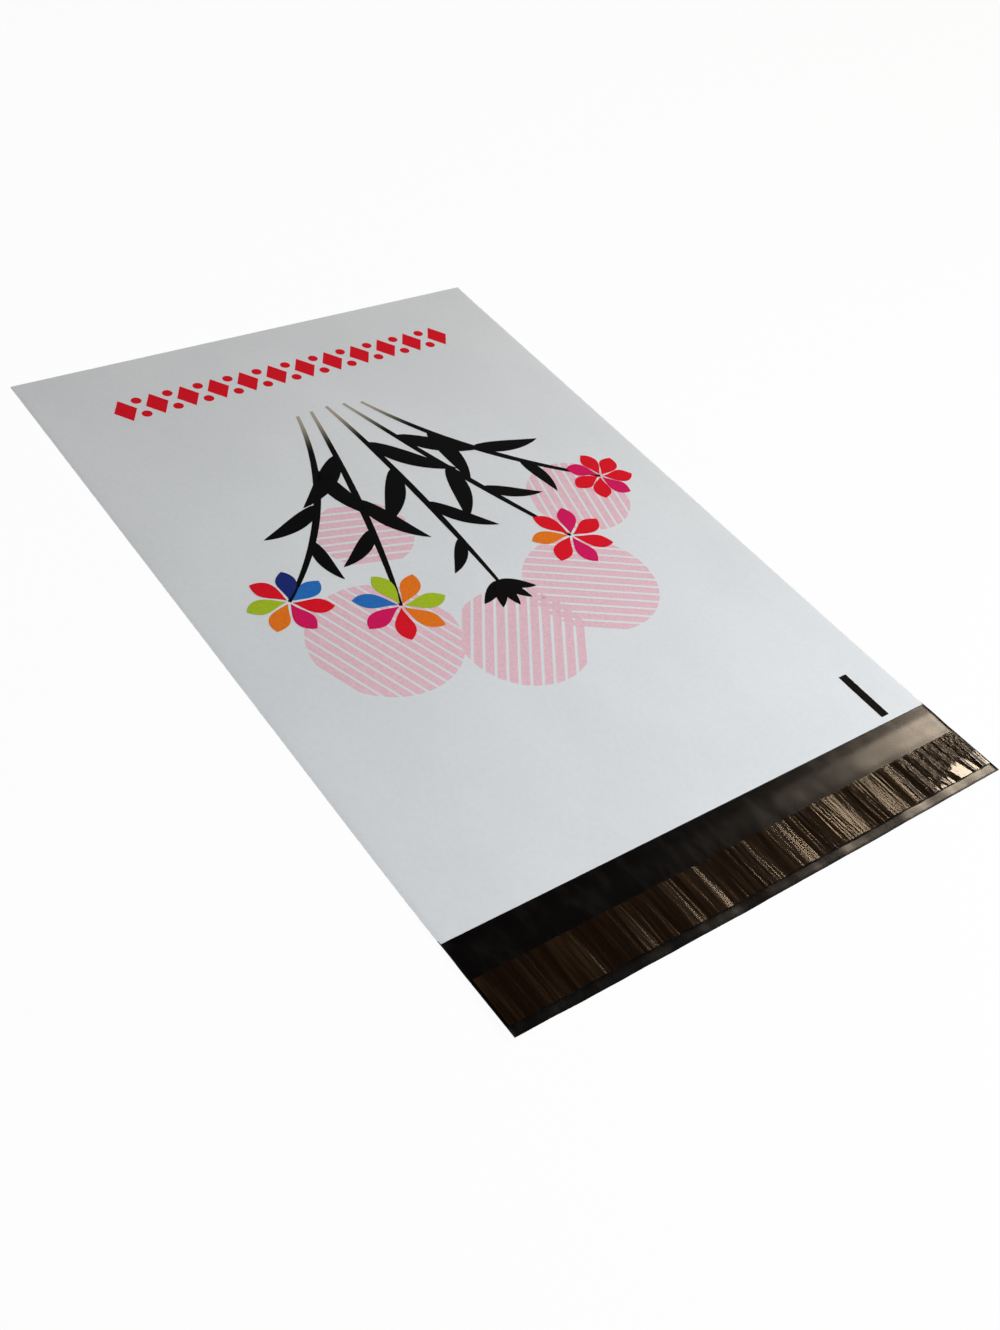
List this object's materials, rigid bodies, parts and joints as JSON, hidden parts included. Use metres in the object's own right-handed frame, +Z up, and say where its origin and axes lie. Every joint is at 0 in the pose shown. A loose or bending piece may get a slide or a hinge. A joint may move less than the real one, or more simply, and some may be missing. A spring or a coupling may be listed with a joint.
{
  "type": "poly mailer bag",
  "caption": "Flat film mailing bag with a folded bottom, welded sides and a black closing lip that carries an adhesive strip under a puckered clear release liner.",
  "frame": {"origin": "middle of the bag's footprint, on the surface that it lies on", "axes": "+Y from the closing lip towards the bottom fold, +X across the bag, +Z up out of the printed front panel"},
  "size_m": [0.254, 0.395, 0.0028],
  "materials": {
    "film": "satin white film outside, glossy black inside",
    "adhesive": "glossy brown hot-melt",
    "liner": "clear glossy puckered film"
  },
  "bodies": {
    "root": {"bag_film": "film", "adhesive_strip": "adhesive", "release_liner": "liner"}
  },
  "joints": []
}
